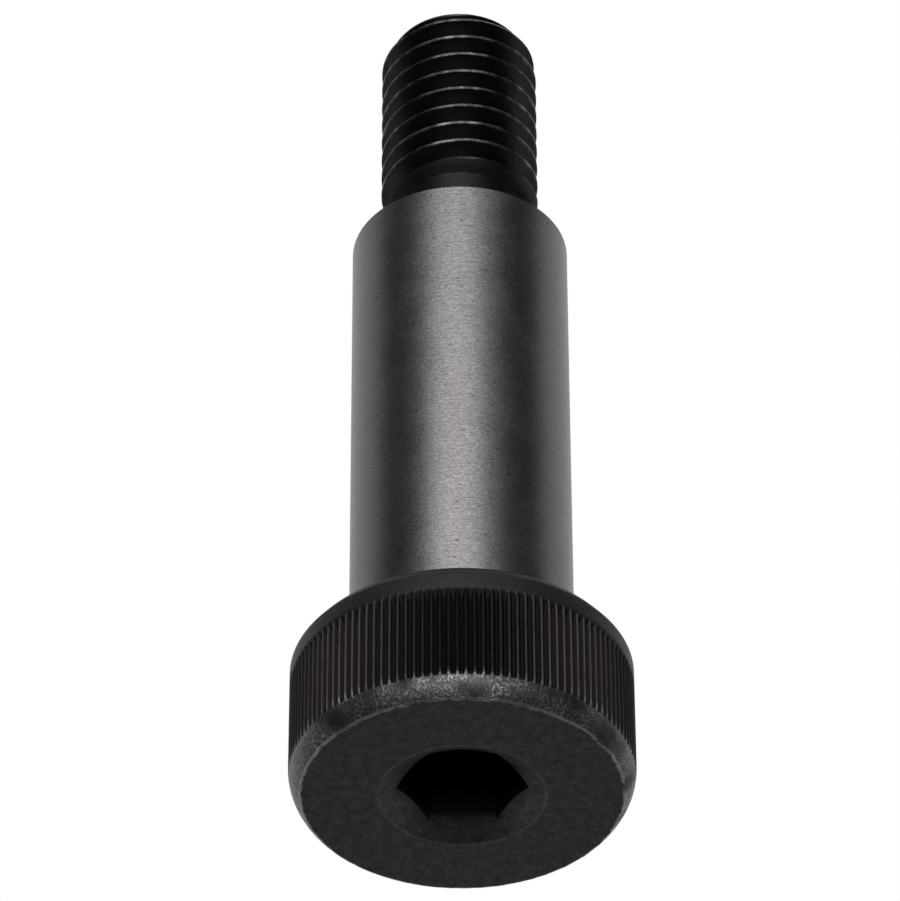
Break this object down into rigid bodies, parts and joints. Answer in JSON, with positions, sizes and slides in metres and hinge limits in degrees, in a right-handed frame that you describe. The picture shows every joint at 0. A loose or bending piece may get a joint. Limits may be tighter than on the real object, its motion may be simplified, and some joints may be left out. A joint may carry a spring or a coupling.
{
  "type": "shoulder bolt",
  "caption": "Socket-head shoulder bolt: knurled round head, ground cylindrical shoulder that a wheel or lever turns on, and a thinner threaded end.",
  "frame": {"origin": "centre of the head's end face, the face that holds the hex socket and on which the bolt stands", "axes": "+Z along the axis from the head to the thread end; +X through one corner of the hex socket"},
  "size_m": [0.0242, 0.0242, 0.0694],
  "materials": {
    "black_steel": "black oxide, ground satin on the shoulder, glossier on the thread"
  },
  "bodies": {
    "root": {"shoulder_bolt": "black_steel"}
  },
  "joints": []
}
